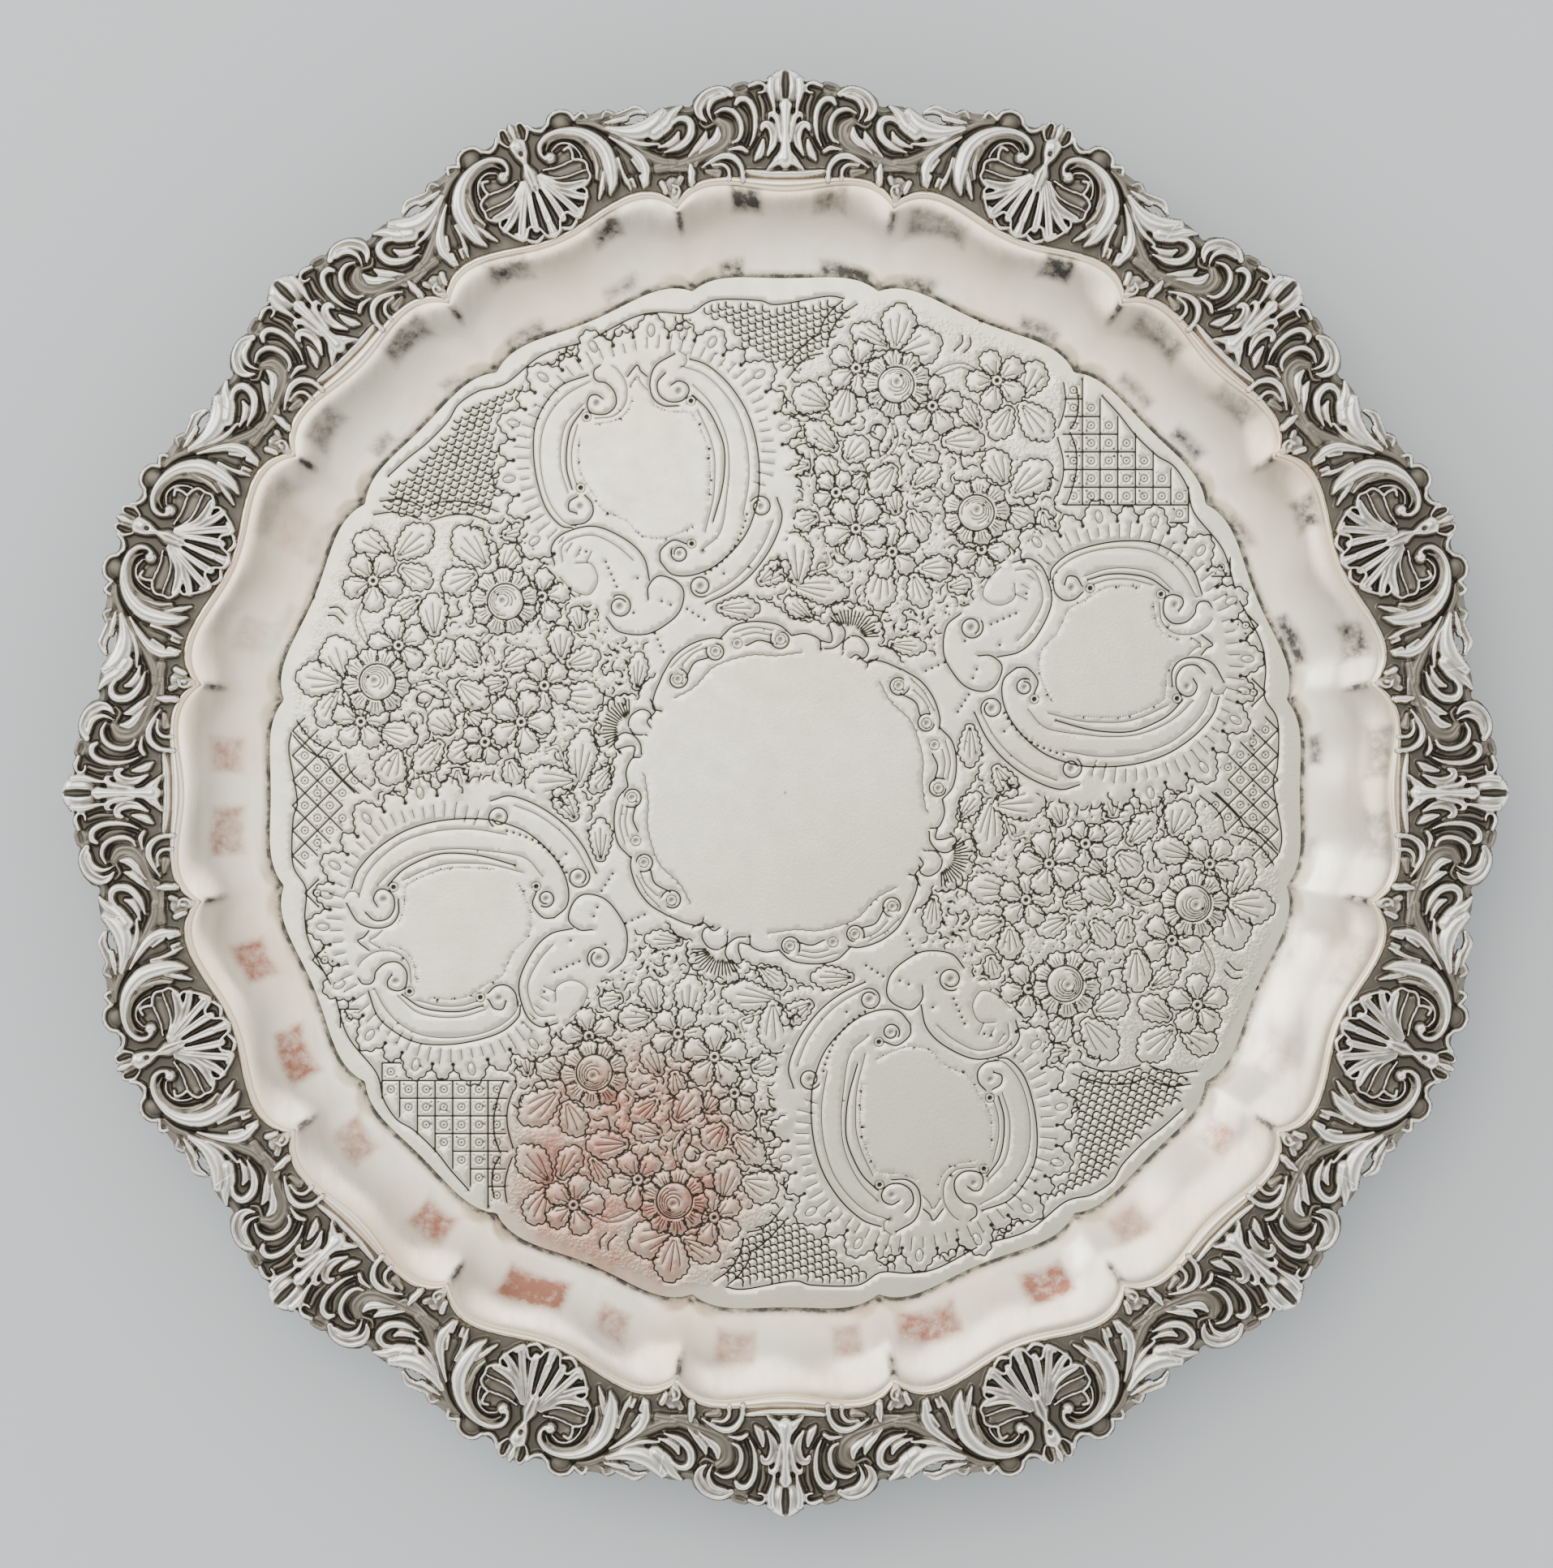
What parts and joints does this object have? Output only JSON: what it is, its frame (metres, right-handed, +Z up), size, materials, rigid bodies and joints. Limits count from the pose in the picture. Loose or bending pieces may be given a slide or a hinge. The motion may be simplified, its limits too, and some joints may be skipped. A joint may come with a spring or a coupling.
{
  "type": "silver salver",
  "caption": "Round footed serving salver with a flat floral-chased field, a lobed bouge and a cast border of shells and leaf scrolls.",
  "frame": {"origin": "centre of the salver, on the plane that its feet stand on", "axes": "+Z up out of the chased face, +X through the tip of a border crest"},
  "size_m": [0.42, 0.42, 0.038],
  "materials": {
    "plated_sheet": "silver plate on copper, satin chased field and polished bouge",
    "plated_casting": "silver plate with dark oxidised recesses and bright rubbed edges",
    "plated_wire": "polished silver plate",
    "plated_foot": "silver plate, dulled in the recesses"
  },
  "bodies": {
    "root": {"plate": "plated_sheet", "crest_mount_1": "plated_casting", "crest_mount_2": "plated_casting", "crest_mount_3": "plated_casting", "crest_mount_4": "plated_casting", "crest_mount_5": "plated_casting", "crest_mount_6": "plated_casting", "crest_mount_7": "plated_casting", "crest_mount_8": "plated_casting", "shell_mount_1": "plated_casting", "shell_mount_2": "plated_casting", "shell_mount_3": "plated_casting", "shell_mount_4": "plated_casting", "shell_mount_5": "plated_casting", "shell_mount_6": "plated_casting", "shell_mount_7": "plated_casting", "shell_mount_8": "plated_casting", "crest_moulding_1": "plated_wire", "crest_moulding_2": "plated_wire", "crest_moulding_3": "plated_wire", "crest_moulding_4": "plated_wire", "crest_moulding_5": "plated_wire", "crest_moulding_6": "plated_wire", "crest_moulding_7": "plated_wire", "crest_moulding_8": "plated_wire", "shell_moulding_1": "plated_wire", "shell_moulding_2": "plated_wire", "shell_moulding_3": "plated_wire", "shell_moulding_4": "plated_wire", "shell_moulding_5": "plated_wire", "shell_moulding_6": "plated_wire", "shell_moulding_7": "plated_wire", "shell_moulding_8": "plated_wire", "foot_1": "plated_foot", "foot_2": "plated_foot", "foot_3": "plated_foot", "foot_4": "plated_foot", "foot_plate_1": "plated_foot", "foot_plate_2": "plated_foot", "foot_plate_3": "plated_foot", "foot_plate_4": "plated_foot"}
  },
  "joints": []
}
